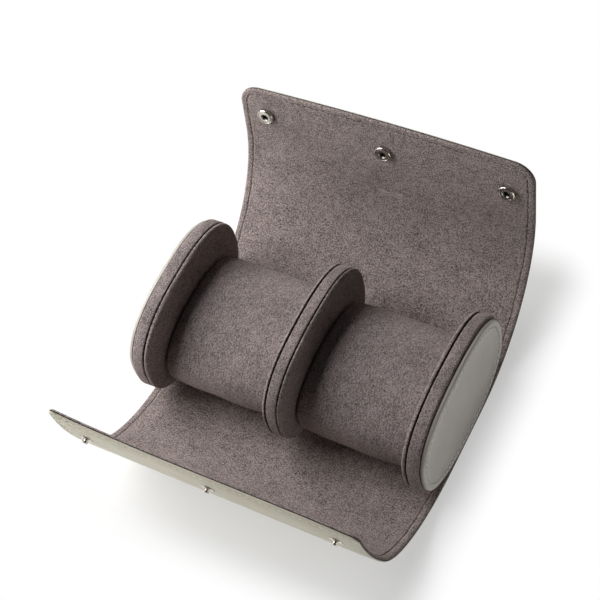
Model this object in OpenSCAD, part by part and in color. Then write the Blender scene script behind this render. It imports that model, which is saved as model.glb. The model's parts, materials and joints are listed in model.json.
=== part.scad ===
// Two-place watch travel case: a stiff wrap of leather and suede that rolls round three
// upright dividers, with a cushion for one watch in each compartment and three snaps.
// X runs along the dividers' row, Y from the front flap to the lid, Z up from the table.

/* [Insert] */
// Clear width of one watch compartment
compartment_w = 60; // [50:1:75]
// Length of a divider, from front to back
divider_l = 85.6; // [80:0.2:92]
// Height of a divider
divider_h = 59; // [55:0.5:64]
// Squareness of the dividers' oval: 2 is an ellipse
divider_squareness = 2.5; // [2.2:0.1:2.8]
// Thickness of a divider's middle band
band_t = 4.8; // [3.6:0.2:7]
// Thickness of the padded face on each side of a band
face_t = 2.4; // [1.8:0.1:3.2]
// Thickness of the plain face on an end divider's outer side
outer_face_t = 1.4; // [0.8:0.1:2.4]
// How far the band lies below the rims of the faces
band_drop = 0.5; // [0.2:0.1:1]
// Thickness of the stiffened leather panel on each end of the insert
end_leather_t = 2.4; // [1.4:0.1:3.2]
// How far the outline of an end panel lies inside its divider's
end_panel_inset = 1.2; // [1:0.2:4]
// How far a divider's rounded foot is pressed flat on the lining
foot_sink = 0.3; // [0.2:0.1:0.6]

/* [Cushion] */
// Depth of a cushion's oval, from front to back
cushion_l = 68.4; // [58:0.2:74]
// Height of a cushion's oval
cushion_h = 41; // [34:0.5:46]
// Squareness of the cushion's oval
cushion_squareness = 2.15; // [2:0.05:2.5]
// How far the cushion's cover draws in at its end seams
cushion_crown = 1.2; // [0.4:0.1:2]
// Thickness of the cushion's suede cover
cover_t = 1.0; // [0.6:0.1:1.5]
// Free gap between a cushion and what is beside and under it
cushion_clearance = 0.3; // [0.2:0.05:0.6]

/* [Wrap] */
// Thickness of the outer leather
leather_t = 1.0; // [0.8:0.1:1.4]
// Thickness of the stiffening board
board_t = 0.5; // [0.4:0.1:0.8]
// Thickness of the suede lining
lining_t = 0.8; // [0.5:0.1:1.1]
// How far the wrap's side edges stand past the end dividers' outer faces
side_overhang = 1.8; // [0.4:0.1:3]
// Width of the flat sole that the case stands on, from front to back
sole_w = 24; // [18:1:28]
// Length of the bent strip on each side of the sole
curl_l = 10; // [8:0.5:12]
// Bend of that strip on the front side
front_curl_bend = 2; // [1:0.5:4]
// Bend of that strip on the lid side
lid_curl_bend = 5; // [3:0.5:7]
// Radius of the lid's two corners
lid_corner_r = 10; // [4:0.5:14]
// Radius of the front flap's two corners
front_corner_r = 3; // [1:0.5:6]
// Slit between one bending panel and the next
hinge_gap = 0.1; // [0.06:0.02:0.2]

/* [Front flap] */
// Length of the front flap's first panel, next to the base
front_panel_1 = 22; // [20:0.5:24]
// Length of its second panel
front_panel_2 = 26; // [24:0.5:28]
// Length of its third panel
front_panel_3 = 22; // [20:0.5:24]
// Length of its last panel, which carries the studs
front_panel_4 = 48.5; // [46:0.5:54]
// Bend that the first panel has when the case lies open
front_bend_1 = 12; // [9:0.5:14]
// Bend of the second panel
front_bend_2 = 22; // [19:0.5:25]
// Bend of the third panel
front_bend_3 = 32; // [29:0.5:35]
// Bend of the last panel
front_bend_4 = 19; // [17:0.5:23]
// Turn at the front flap's first fold when it is rolled shut
front_fold_1 = 24.5; // [22.5:0.5:26.5]
// Turn at its second fold
front_fold_2 = 32; // [30:0.5:34]
// Turn at its third fold
front_fold_3 = 12; // [10:0.5:14]
// Turn at its last fold
front_fold_4 = 31; // [29:0.5:33]

/* [Lid] */
// Length of the lid's first panel, next to the base
lid_panel_1 = 22; // [20:0.5:24]
// Length of its second panel
lid_panel_2 = 22; // [20:0.5:24]
// Length of its third panel
lid_panel_3 = 24; // [22:0.5:26]
// Length of its fourth panel
lid_panel_4 = 24; // [22:0.5:26]
// Length of its edge panel, which carries the sockets
lid_panel_5 = 32; // [31:0.5:38]
// Bend that the first panel has when the case lies open
lid_bend_1 = 20; // [17:0.5:23]
// Bend of the second panel
lid_bend_2 = 17; // [14:0.5:20]
// Bend of the third panel
lid_bend_3 = 18; // [15:0.5:21]
// Bend of the fourth panel
lid_bend_4 = 21; // [18:0.5:24]
// Bend of the edge panel
lid_bend_5 = 1; // [0.5:0.5:3]
// Turn at the lid's first fold when it is rolled shut
lid_fold_1 = 19.5; // [17.5:0.5:21.5]
// Turn at its second fold
lid_fold_2 = 22; // [20:0.5:24]
// Turn at its third fold
lid_fold_3 = 29; // [27:0.5:31]
// Turn at its fourth fold
lid_fold_4 = 13.6; // [12:0.2:16]

/* [Snaps] */
// Spacing of the three snaps along the edge
snap_pitch = 62; // [50:1:66]
// Distance of the socket row from the lid's edge
socket_inset = 18.5; // [16:0.5:24]
// Diameter of a socket
socket_d = 8.2; // [7.4:0.2:9.4]
// Diameter of a stud's head
stud_head_d = 2.9; // [2.6:0.1:3.2]
// Diameter of a stud's neck
stud_neck_d = 2.0; // [1.8:0.1:2.2]
// Diameter of a stud's flange
stud_flange_d = 6.6; // [6:0.2:7.4]
// Thickness of a stud's flange
stud_flange_t = 0.5; // [0.4:0.1:0.6]
// Diameter of the spring wire in a socket
spring_wire_d = 0.5; // [0.4:0.05:0.6]
// Diameter of the round cap on the lid's outside
cap_d = 11; // [10:0.5:13]
// Height of that cap's dome
cap_h = 1.2; // [0.8:0.1:1.8]
// Diameter of the posts that pass through the leather
post_d = 2.4; // [2:0.1:2.8]
// Clearance round a post, and between a closed socket and its stud's flange
snap_clearance = 0.1; // [0.06:0.02:0.2]

/* [Hidden] */
wall = leather_t + board_t + lining_t;
divider_t = band_t + 2 * face_t;
divider_pitch = compartment_w + divider_t;
wrap_w = 2 * (divider_pitch + band_t / 2 + outer_face_t + side_overhang);
divider_z = wall + divider_h / 2 - foot_sink;
cushion_w = compartment_w - 2 * cushion_clearance;
cushion_z = wall + cushion_clearance + cushion_h / 2;
rim_r = 0.9;
oval_points = 48;
bend_steps = 8;
cushion_rings = 12;
leather = "#b9b4a2";
lining = "#766c6c";
inner_board = "#8d8579";
foam = "#d8d2c4";
nickel = "#b8b6b0";

front_lengths = [front_panel_1, front_panel_2, front_panel_3, front_panel_4];
front_bends = [front_bend_1, front_bend_2, front_bend_3, front_bend_4];
front_folds = [front_fold_1, front_fold_2, front_fold_3, front_fold_4];
lid_lengths = [lid_panel_1, lid_panel_2, lid_panel_3, lid_panel_4, lid_panel_5];
lid_bends = [lid_bend_1, lid_bend_2, lid_bend_3, lid_bend_4, lid_bend_5];

// A pose is a point and a heading on the wrap's inner surface: [y, z, angle]. The lid is
// worked out with Y pointing to the back, and the front flap with Y pointing to the front.
function along(p, length, bend, t) =
    let (a = p[2], b = bend * t, r = length / (bend * PI / 180))
    [p[0] + r * (sin(a + b) - sin(a)), p[1] - r * (cos(a + b) - cos(a)), a + b];
// The point that lies a depth d out from the inner surface
function out(p, d) = [p[0] + d * sin(p[2]), p[1] - d * cos(p[2])];
// The pose at which panel i starts
function panel_start(start, lengths, bends, i) =
    i == 0 ? start
    : along(panel_start(start, lengths, bends, i - 1), lengths[i - 1], bends[i - 1], 1);
function turned(p, about, a) =
    [about[0] + (p[0] - about[0]) * cos(a) - (p[1] - about[1]) * sin(a),
     about[1] + (p[0] - about[0]) * sin(a) + (p[1] - about[1]) * cos(a)];
// Where a point of the last panel goes when fold i and all the folds before it turn
function rolled(p, hinges, folds, i) =
    i < 0 ? p : rolled(turned(p, hinges[i], folds[i]), hinges, folds, i - 1);
// The way back from the rolled place to the open one
function unrolled(p, hinges, folds, i = 0) =
    i == len(hinges) ? p : unrolled(turned(p, hinges[i], -folds[i]), hinges, folds, i + 1);
function total(v, n) = n < 0 ? 0 : v[n] + total(v, n - 1);

sole_end = [sole_w / 2, wall, 0];
front_start = along(sole_end, curl_l, front_curl_bend, 1);
lid_start = along(sole_end, curl_l, lid_curl_bend, 1);
front_poses = [for (i = [0:4]) panel_start(front_start, front_lengths, front_bends, i)];
lid_poses = [for (i = [0:5]) panel_start(lid_start, lid_lengths, lid_bends, i)];
front_hinges = [for (i = [0:3]) front_poses[i]];
lid_hinges = [for (i = [0:4]) lid_poses[i]];

// The socket row, where the edge panel is turned until it lies level on the closed case
socket_pose = along(lid_poses[4], lid_panel_5, lid_bend_5, 1 - socket_inset / lid_panel_5);
lid_fold_5 = 180 - socket_pose[2] - (lid_fold_1 + lid_fold_2 + lid_fold_3 + lid_fold_4);
lid_folds = [lid_fold_1, lid_fold_2, lid_fold_3, lid_fold_4, lid_fold_5];
socket_closed = rolled(socket_pose, lid_hinges, lid_folds, 4);

// The stud row lies on the front flap's leather, straight under the closed socket row
function stud_closed(s) =
    rolled(out(along(front_poses[3], front_panel_4, front_bend_4, s / front_panel_4), wall),
        front_hinges, front_folds, 3);
stud_guess = front_panel_4 - socket_inset;
stud_step = stud_guess + stud_closed(stud_guess)[0] + socket_closed[0];
stud_along = stud_step + stud_closed(stud_step)[0] + socket_closed[0];
stud_seat = [-socket_closed[0], stud_closed(stud_along)[1]];
stud_open = unrolled(stud_seat, front_hinges, front_folds);
stud_heading = 180 - total(front_folds, 3);
closed_gap = socket_closed[1] - stud_seat[1];
socket_h = closed_gap - stud_flange_t - snap_clearance;

// Stretches a side view, drawn in Y and Z, along X
module across(width) {
    rotate([90, 0, 90]) linear_extrude(height = width, center = true) children();
}

function reversed(v) = [for (i = [len(v) - 1:-1:0]) v[i]];
function layer_line(p, length, bend, first, last, d) =
    [for (i = [0:bend_steps])
        out(along(p, length, bend, first + (last - first) * i / bend_steps), d)];

// One layer of a panel, between two depths below the inner surface
module panel_layer(p, length, bend, inner, outer, is_last) {
    first = hinge_gap / 2 / length;
    last = is_last ? 1 : 1 - first;
    across(wrap_w) polygon(concat(
        layer_line(p, length, bend, first, last, inner),
        reversed(layer_line(p, length, bend, first, last, outer))));
}

function base_line(d) =
    let (last = 1 - hinge_gap / 2 / curl_l)
    concat(
        [for (q = reversed(layer_line(sole_end, curl_l, front_curl_bend, 0, last, d)))
            [-q[0], q[1]]],
        layer_line(sole_end, curl_l, lid_curl_bend, 0, last, d));

module base_layer(inner, outer) {
    across(wrap_w) polygon(concat(base_line(inner), reversed(base_line(outer))));
}

// What is cut from the two corners of a flap that ends at pose p, to leave a radius r. The
// arc's first and last chords are carried on past the flap's edges, so that they cross them.
corner_steps = 10;
function corner_point(r, i) = let (a = 90 * i / corner_steps) [r * cos(a), r * sin(a)];
function corner_arc(r) = concat(
    [2 * corner_point(r, 0) - corner_point(r, 1)],
    [for (i = [1:corner_steps - 1]) corner_point(r, i)],
    [2 * corner_point(r, corner_steps) - corner_point(r, corner_steps - 1)]);
module corner_cuts(p, r) {
    beyond = r + wall;
    arc = corner_arc(r);
    for (side = [0, 1])
        mirror([side, 0, 0])
            translate([wrap_w / 2 - r, p[0], p[1]])
                rotate([p[2], 0, 0])
                    translate([0, -r, 0])
                        linear_extrude(height = 8 * wall, center = true)
                            polygon(concat(arc,
                                [[arc[corner_steps][0], beyond], [beyond, beyond],
                                    [beyond, arc[0][1]]]));
}

module at_snaps(place) {
    for (x = [-snap_pitch, 0, snap_pitch])
        translate([x, place[0], place[1]])
            rotate([place[2], 0, 0])
                children();
}

module post_holes(place) {
    at_snaps(place)
        cylinder(d = post_d + 2 * snap_clearance, h = 6 * wall, center = true, $fn = 32);
}

// Layer depths, from the suede out
lining_depths = [0, lining_t];
board_depths = [lining_t, lining_t + board_t];
leather_depths = [lining_t + board_t, wall];

module lid_layer(i, depths) {
    difference() {
        panel_layer(lid_poses[i], lid_lengths[i], lid_bends[i], depths[0], depths[1], i == 4);
        if (i == 4) {
            corner_cuts(lid_poses[5], lid_corner_r);
            post_holes(socket_pose);
        }
    }
}

stud_place = [stud_open[0], stud_open[1], stud_heading];

module front_layer(i, depths) {
    mirror([0, 1, 0])
        difference() {
            panel_layer(front_poses[i], front_lengths[i], front_bends[i],
                depths[0], depths[1], i == 3);
            if (i == 3) corner_cuts(front_poses[4], front_corner_r);
            if (i == 3 && depths[1] > board_depths[0]) stud_room(depths);
        }
}

// The rivet lies in the board, and its post passes through the leather
rivet_inset = 0.3;
rivet_flange_d = stud_flange_d - 2 * rivet_inset;
rivet_sink = 0.1;
module stud_room(depths) {
    at_snaps(stud_place)
        if (depths == board_depths)
            cylinder(d = rivet_flange_d + 2 * snap_clearance, h = 4 * wall, center = true, $fn = 48);
        else
            cylinder(d = post_d + 2 * snap_clearance, h = 4 * wall, center = true, $fn = 32);
}

module base_leather() { color(leather) base_layer(leather_depths[0], leather_depths[1]); }
module base_board() { color(inner_board) base_layer(board_depths[0], board_depths[1]); }
module base_lining() { color(lining) base_layer(lining_depths[0], lining_depths[1]); }

module front_leather(i) { color(leather) front_layer(i, leather_depths); }
module front_board(i) { color(inner_board) front_layer(i, board_depths); }
module front_lining(i) { color(lining) front_layer(i, lining_depths); }
module lid_leather(i) { color(leather) lid_layer(i, leather_depths); }
module lid_board(i) { color(inner_board) lid_layer(i, board_depths); }
module lid_lining(i) { color(lining) lid_layer(i, lining_depths); }

// An oval between an ellipse and a rectangle, round the point [0, middle]
function oval(length, height, squareness, middle = 0) =
    [for (i = [0:oval_points - 1])
        let (a = 360 * i / oval_points, c = cos(a), s = sin(a), e = 2 / squareness)
        [length / 2 * sign(c) * pow(abs(c), e), middle + height / 2 * sign(s) * pow(abs(s), e)]];

// A divider's outline, drawn in by some amount and pressed flat on the lining
function divider_outline(inset) =
    [for (q = oval(divider_l - 2 * inset, divider_h - 2 * inset, divider_squareness, divider_z))
        [q[0], max(q[1], wall)]];

module plain_disc(x, thickness, inset) {
    translate([x, 0, 0]) across(thickness) polygon(divider_outline(inset));
}

// A padded face with a rounded rim
module padded_disc(x, thickness) {
    hull() {
        plain_disc(x, thickness, rim_r);
        plain_disc(x, thickness - 0.6 * rim_r, 0.3 * rim_r);
        plain_disc(x, thickness - 1.4 * rim_r, 0);
    }
}

module band(x) { color(lining) plain_disc(x, band_t, band_drop); }
module face(x) { color(lining) padded_disc(x, face_t); }

face_offset = (band_t + face_t) / 2;
outer_face_offset = (band_t + outer_face_t) / 2;
end_leather_offset = (band_t + end_leather_t) / 2 + outer_face_t;

module outer_face(side) {
    color(lining) plain_disc(side * (divider_pitch + outer_face_offset), outer_face_t, 0);
}
module end_panel(side) {
    color(leather)
        plain_disc(side * (divider_pitch + end_leather_offset), end_leather_t, end_panel_inset);
}

// How far the cover is drawn in at a place between the middle, 0, and the end seam, 1
function drawn_in(u) = cushion_crown * pow(abs(u), 3);
function cushion_ring(u) =
    oval(cushion_l - 2 * drawn_in(u), cushion_h - 2 * drawn_in(u), cushion_squareness, cushion_z);

// The crowned outer shape of a cushion, one ring of points after another along X
module cushion_body(length) {
    rings = [for (k = [0:cushion_rings])
        let (u = 2 * k / cushion_rings - 1)
        [for (q = cushion_ring(u)) [u * length / 2, q[0], q[1]]]];
    n = oval_points;
    sides = [for (k = [0:cushion_rings - 1], i = [0:n - 1], half = [0, 1])
        let (a = k * n + i, b = k * n + (i + 1) % n)
        half == 0 ? [a, a + n, b] : [b, a + n, b + n]];
    first_end = [[for (i = [0:n - 1]) i]];
    last_end = [[for (i = [n - 1:-1:0]) cushion_rings * n + i]];
    polyhedron([for (ring = rings, q = ring) q], concat(sides, first_end, last_end));
}

cover_w = cushion_w - 2 * cover_t;
foam_draw = 2 * cover_t + 2 * cushion_crown;
module foam_shape(width) {
    across(width)
        polygon(oval(cushion_l - foam_draw, cushion_h - foam_draw, cushion_squareness, cushion_z));
}

module cushion_cover(side) {
    color(lining)
        translate([side * divider_pitch / 2, 0, 0])
            difference() {
                cushion_body(cover_w);
                foam_shape(2 * cover_w);
            }
}
module cushion_foam(side) {
    color(foam) translate([side * divider_pitch / 2, 0, 0]) foam_shape(cover_w);
}
module cushion_ends(side) {
    color(lining)
        for (end = [-1, 1])
            translate([side * divider_pitch / 2 + end * (cushion_w - cover_t) / 2, 0, 0])
                across(cover_t) polygon(cushion_ring(1));
}

// A snap's parts are drawn with Z along the snap, from the face that it stands on
neck_play = 0.4;
head_slope = 0.3;
head_round = 0.4;
flange_round = 0.3;
neck_top = stud_flange_t + spring_wire_d + neck_play;
clinch_h = 0.15;
stud_top = closed_gap - clinch_h - 2 * snap_clearance;
module stud() {
    flange_r = stud_flange_d / 2;
    neck_r = stud_neck_d / 2;
    head_r = stud_head_d / 2;
    rotate_extrude($fn = 48)
        polygon([[0, 0], [flange_r, 0], [flange_r, stud_flange_t * 0.6],
            [flange_r - flange_round, stud_flange_t], [neck_r, stud_flange_t],
            [neck_r, neck_top], [head_r, neck_top + head_slope],
            [head_r, stud_top - head_round], [head_r - head_round, stud_top], [0, stud_top]]);
}
module snap_studs() {
    color(nickel) mirror([0, 1, 0]) at_snaps(stud_place) rotate([180, 0, 0]) stud();
}

// The rivet's flange is a little thinner than the board that it lies in
module stud_rivets() {
    color(nickel)
        mirror([0, 1, 0])
            at_snaps(stud_place)
                union() {
                    cylinder(d = post_d, h = leather_t + rivet_sink, $fn = 32);
                    translate([0, 0, leather_t + rivet_sink])
                        cylinder(d = rivet_flange_d, h = board_t - 2 * rivet_sink, $fn = 48);
                }
}

// The socket is a raised ring with a rolled lip, and a groove inside for its spring
head_clearance = 0.2;
groove_depth = 0.45;
groove_cover = 0.35;
groove_play = 0.1;
socket_round = 0.3;
shoulder_w = 0.8;
lip_w = 0.3;
lip_drop = 0.15;
lip_groove_w = 0.4;
lip_groove_h = 0.25;
lip_bore_r = stud_head_d / 2 + head_clearance;
groove_r = lip_bore_r + groove_depth;
groove_top = socket_h - groove_cover;
groove_bottom = groove_top - spring_wire_d - groove_play;
module socket_ring() {
    r = socket_d / 2;
    lip_r = lip_bore_r + lip_w;
    rotate_extrude($fn = 64)
        polygon([[lip_bore_r, 0], [r - socket_round, 0], [r, socket_round], [r, socket_h * 0.55],
            [r - socket_round, socket_h * 0.85], [r - shoulder_w, socket_h],
            [lip_r + 2 * lip_groove_w, socket_h],
            [lip_r + lip_groove_w, socket_h - lip_groove_h], [lip_r, socket_h],
            [lip_bore_r, socket_h - lip_drop], [lip_bore_r, groove_top], [groove_r, groove_top],
            [groove_r, groove_bottom], [lip_bore_r, groove_bottom]]);
}
module snap_sockets() {
    color(nickel) at_snaps(socket_pose) socket_ring();
}

// An open ring of wire that clips round the stud's neck
spring_opening = 36;
spring_play = 0.15;
module socket_springs() {
    color(nickel)
        at_snaps(socket_pose)
            translate([0, 0, (groove_top + groove_bottom) / 2])
                rotate([0, 0, spring_opening / 2])
                    rotate_extrude(angle = 360 - spring_opening, $fn = 48)
                        translate([stud_neck_d / 2 + spring_play + spring_wire_d / 2, 0])
                            circle(d = spring_wire_d, $fn = 16);
}

// The cap's dome lies on the leather, and its post holds the socket on the other side
dome_edge_h = 0.35;
dome_rise = cap_h - dome_edge_h;
dome_r = (cap_d * cap_d / 4 + dome_rise * dome_rise) / (2 * dome_rise);
module cap() {
    rotate([180, 0, 0])
        rotate_extrude($fn = 64)
            polygon(concat([[0, 0], [cap_d / 2, 0]],
                [for (i = [0:8])
                    let (r = cap_d / 2 * (1 - i / 8))
                    [r, cap_h - dome_r + sqrt(dome_r * dome_r - r * r)]]));
}
clinch_rim = 0.3;
clinch_d = post_d + 2 * clinch_rim;
module snap_caps() {
    color(nickel)
        at_snaps(socket_pose)
            translate([0, 0, -wall])
                union() {
                    cap();
                    cylinder(d = post_d, h = wall, $fn = 32);
                    translate([0, 0, wall]) cylinder(d = clinch_d, h = clinch_h, $fn = 48);
                }
}

base_leather();
base_board();
base_lining();
front_leather(0);  // front_leather_1
front_leather(1);  // front_leather_2
front_leather(2);  // front_leather_3
front_leather(3);  // front_leather_4
front_board(0);  // front_board_1
front_board(1);  // front_board_2
front_board(2);  // front_board_3
front_board(3);  // front_board_4
front_lining(0);  // front_lining_1
front_lining(1);  // front_lining_2
front_lining(2);  // front_lining_3
front_lining(3);  // front_lining_4
lid_leather(0);  // lid_leather_1
lid_leather(1);  // lid_leather_2
lid_leather(2);  // lid_leather_3
lid_leather(3);  // lid_leather_4
lid_leather(4);  // lid_leather_5
lid_board(0);  // lid_board_1
lid_board(1);  // lid_board_2
lid_board(2);  // lid_board_3
lid_board(3);  // lid_board_4
lid_board(4);  // lid_board_5
lid_lining(0);  // lid_lining_1
lid_lining(1);  // lid_lining_2
lid_lining(2);  // lid_lining_3
lid_lining(3);  // lid_lining_4
lid_lining(4);  // lid_lining_5
band(-divider_pitch);  // left_divider_band
face(-divider_pitch + face_offset);  // left_divider_inner_face
outer_face(-1);  // left_divider_outer_face
end_panel(-1);  // left_end_panel
band(0);  // middle_divider_band
face(-face_offset);  // middle_divider_left_face
face(face_offset);  // middle_divider_right_face
band(divider_pitch);  // right_divider_band
face(divider_pitch - face_offset);  // right_divider_inner_face
outer_face(1);  // right_divider_outer_face
end_panel(1);  // right_end_panel
cushion_cover(-1);  // left_cushion_cover
cushion_foam(-1);  // left_cushion_foam
cushion_ends(-1);  // left_cushion_ends
cushion_cover(1);  // right_cushion_cover
cushion_foam(1);  // right_cushion_foam
cushion_ends(1);  // right_cushion_ends
snap_studs();
stud_rivets();
snap_sockets();
socket_springs();
snap_caps();
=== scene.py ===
# %% [markdown]
# A two-place watch travel case.
#
# The case is a stiff strip of leather, lined with suede, that rolls round three upright
# dividers. Between the dividers lie two oval cushions, one for each watch, and three nickel
# snaps hold the case shut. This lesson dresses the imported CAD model: every soft or visible
# part is modelled again as what it is, in metres and in the CAD model's own frame.

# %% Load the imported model
import json
import math

import bmesh
import bpy
import numpy as np
from mathutils import Matrix, Vector


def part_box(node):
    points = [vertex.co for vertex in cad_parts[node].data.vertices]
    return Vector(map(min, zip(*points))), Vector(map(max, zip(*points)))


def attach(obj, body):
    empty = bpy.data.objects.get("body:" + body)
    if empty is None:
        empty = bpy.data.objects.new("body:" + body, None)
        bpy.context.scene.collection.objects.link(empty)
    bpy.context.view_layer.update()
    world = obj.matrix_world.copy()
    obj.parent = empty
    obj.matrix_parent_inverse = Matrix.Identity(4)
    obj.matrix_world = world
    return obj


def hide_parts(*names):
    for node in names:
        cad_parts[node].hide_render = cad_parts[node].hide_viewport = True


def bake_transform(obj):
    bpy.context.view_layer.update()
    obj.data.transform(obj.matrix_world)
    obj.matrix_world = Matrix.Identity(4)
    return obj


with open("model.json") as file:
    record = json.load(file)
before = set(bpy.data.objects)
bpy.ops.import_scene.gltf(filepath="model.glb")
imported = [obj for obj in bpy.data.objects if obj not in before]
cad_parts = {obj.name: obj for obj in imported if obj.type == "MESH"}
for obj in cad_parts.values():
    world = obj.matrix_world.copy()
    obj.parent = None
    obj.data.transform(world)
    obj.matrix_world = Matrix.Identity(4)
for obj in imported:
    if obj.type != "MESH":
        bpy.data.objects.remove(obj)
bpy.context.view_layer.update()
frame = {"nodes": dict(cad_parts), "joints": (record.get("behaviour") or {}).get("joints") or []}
MM = 0.001
joints = {joint["name"]: joint for joint in frame["joints"]}

# %% [markdown]
# Measures. The hinges of the bending wrap, its width and the height of its tips are read
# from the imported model, so the dressed case follows the CAD when a size there changes. Only
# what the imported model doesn't tell, such as the thickness of the lining, is written here.

# %% Measures of the wrap
lining_t = 0.8 * MM
sole_half = 12 * MM
front_last_bend = math.radians(19)
lid_last_bend = math.radians(1)
lining_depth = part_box("base_lining")[0].z
wall = lining_depth + lining_t
wrap_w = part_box("base_leather")[1].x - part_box("base_leather")[0].x
lid_corner_r = 10 * MM
front_corner_r = 3 * MM
print(f"wall {wall / MM:.2f} mm, wrap {wrap_w / MM:.1f} mm wide")

# %% [markdown]
# The wrap's side view. Leather over board can't kink, so each flap is a chain of arcs, one
# for each panel, that share a tangent where they meet. A Bezier curve could follow the same
# line, but arcs give the distance along the leather exactly, and the seams, the stitches and
# the grain are all laid out in that distance.


# %% The wrap's side view
class Flap:
    """The inner surface of one flap as arcs that meet without a kink, from the sole's middle."""

    def __init__(self, side, names, last_bend, tip_z):
        self.side = side
        hinges = [(side * joints[n]["pos_m"][1], joints[n]["pos_m"][2]) for n in names]
        self.arcs = [(0.0, sole_half, 0.0, wall, 0.0, 1e-9)]
        start, y, z, heading = sole_half, sole_half, wall, 0.0
        for next_y, next_z in hinges:
            chord = math.hypot(next_y - y, next_z - z)
            bend = 2 * (math.atan2(next_z - z, next_y - y) - heading)
            length = chord * (bend / 2) / math.sin(bend / 2)
            self.arcs.append((start, length, y, z, heading, bend))
            start, y, z, heading = start + length, next_y, next_z, heading + bend
        rise = math.cos(heading) - math.cos(heading + last_bend)
        length = last_bend * (tip_z - z) / rise
        self.arcs.append((start, length, y, z, heading, last_bend))
        self.length = start + length
        self.hinges = [arc[0] for arc in self.arcs[2:]]
        self.arcs = np.array(self.arcs)

    def at(self, s):
        """Points on the surface, and the directions out of it, at distances s along it."""
        s = np.asarray(s, float)
        k = np.clip(np.searchsorted(self.arcs[:, 0], s, side="right") - 1, 0, len(self.arcs) - 1)
        start, length, y, z, heading, bend = np.moveaxis(self.arcs[k], -1, 0)
        radius = length / bend
        turn = heading + (s - start) / radius
        point_y = y + radius * (np.sin(turn) - np.sin(heading))
        point_z = z - radius * (np.cos(turn) - np.cos(heading))
        return (
            np.stack([self.side * point_y, point_z], -1),
            np.stack([self.side * np.sin(turn), -np.cos(turn)], -1),
        )


front_joints = ["front_flap", "front_fold_2", "front_fold_3", "front_fold_4"]
lid_joints = ["lid", "lid_fold_2", "lid_fold_3", "lid_fold_4", "lid_edge"]
front = Flap(-1, front_joints, front_last_bend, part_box("front_lining_4")[1].z)
lid = Flap(1, lid_joints, lid_last_bend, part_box("lid_lining_5")[1].z)
for title, flap in (("front flap", front), ("lid", lid)):
    print(f"{title}: {flap.length / MM:.1f} mm from the sole's middle to its tip")

# %% [markdown]
# One helper collects the faces of a piece. A piece is a few grids of points: rows and columns
# that the helper turns into quads, with a finish for each grid and a flat coordinate, in
# metres, for each corner. Modifiers could bend and thicken a plane instead, but the case's
# rims and seams need points at chosen places. The finishes later draw their nap and grain in
# the flat coordinate, so the pattern stays on the cloth when a flap bends.

# %% A helper that sews grids of points into one mesh
SHEET = "sheet"


def put(name, data):
    """Puts an object with this mesh, light or camera into the scene."""
    made = bpy.data.objects.new(name, data)
    bpy.context.scene.collection.objects.link(made)
    return made


class Sewing:
    """Collects grids of points and makes one object of them."""

    def __init__(self):
        self.points, self.faces, self.finishes, self.coords = [], [], [], []

    def grid(self, points, coords, finish, closed=False):
        """points is rows by columns by 3. A closed grid's coords have one column more."""
        rows, columns = points.shape[:2]
        base = sum(len(p) for p in self.points)
        self.points.append(points.reshape(-1, 3))
        index = base + np.arange(rows * columns).reshape(rows, columns)
        if closed:
            index = np.concatenate([index, index[:, :1]], 1)
        corners = [np.s_[:-1, :-1], np.s_[:-1, 1:], np.s_[1:, 1:], np.s_[1:, :-1]]
        faces = np.stack([index[c] for c in corners], -1).reshape(-1, 4)
        self.faces.append(faces)
        self.coords.append(np.stack([coords[c] for c in corners], -2).reshape(-1, 2))
        self.finishes.append(np.full(len(faces), finish))

    def piece(self, name, finishes, sharp_angle=55):
        """Makes the object, joins the grids where they meet and shades it smooth."""
        mesh = bpy.data.meshes.new(name)
        points, faces = np.concatenate(self.points), np.concatenate(self.faces)
        mesh.from_pydata(points.tolist(), [], faces.tolist())
        layer = mesh.uv_layers.new(name=SHEET)
        layer.data.foreach_set("uv", np.concatenate(self.coords).astype(np.float32).ravel())
        mesh.polygons.foreach_set("material_index", np.concatenate(self.finishes).astype(np.int32))
        bm = bmesh.new()
        bm.from_mesh(mesh)
        bmesh.ops.remove_doubles(bm, verts=bm.verts, dist=1e-6)
        bmesh.ops.dissolve_degenerate(bm, edges=bm.edges, dist=1e-7)
        bmesh.ops.recalc_face_normals(bm, faces=bm.faces)
        for face in bm.faces:
            face.smooth = True
        for edge in bm.edges:
            edge.smooth = edge.calc_face_angle(0) < math.radians(sharp_angle)
        bm.to_mesh(mesh)
        bm.free()
        for finish in finishes:
            mesh.materials.append(finish)
        return put(name, mesh)


print("each piece keeps its flat coordinate in a layer called", SHEET)

# %% [markdown]
# Finishes. A finish is a small network of shader nodes. Written out node by node it is long
# and hard to read, so a socket is wrapped in a class that does arithmetic: nap * 0.7 adds a
# Math node by itself.


# %% A wrapper for shader sockets
def socket_named(sockets, key):
    """The socket with that number, or the first one in use that has that name."""
    if isinstance(key, int):
        return sockets[key]
    return next(s for s in sockets if s.name == key and s.enabled)


class Wire:
    """An output socket that can be added and multiplied."""

    def __init__(self, graph, socket):
        self.graph, self.socket = graph, socket

    def beside(self, name):
        """Another output of the same node."""
        return Wire(self.graph, self.socket.node.outputs[name])

    def calc(self, operation, first, second):
        return self.graph.add("ShaderNodeMath", {"operation": operation}, {0: first, 1: second})

    def __add__(self, other):
        return self.calc("ADD", self, other)

    def __mul__(self, other):
        return self.calc("MULTIPLY", self, other)


print("a wire's operators:", Wire.__add__.__name__, "and", Wire.__mul__.__name__)

# %% [markdown]
# Every other node comes from one method, which takes the node's type, its settings and the
# values or wires of its sockets. A finish is such a tree with one Principled shader, on which
# what is the same all over is set directly.


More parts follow.
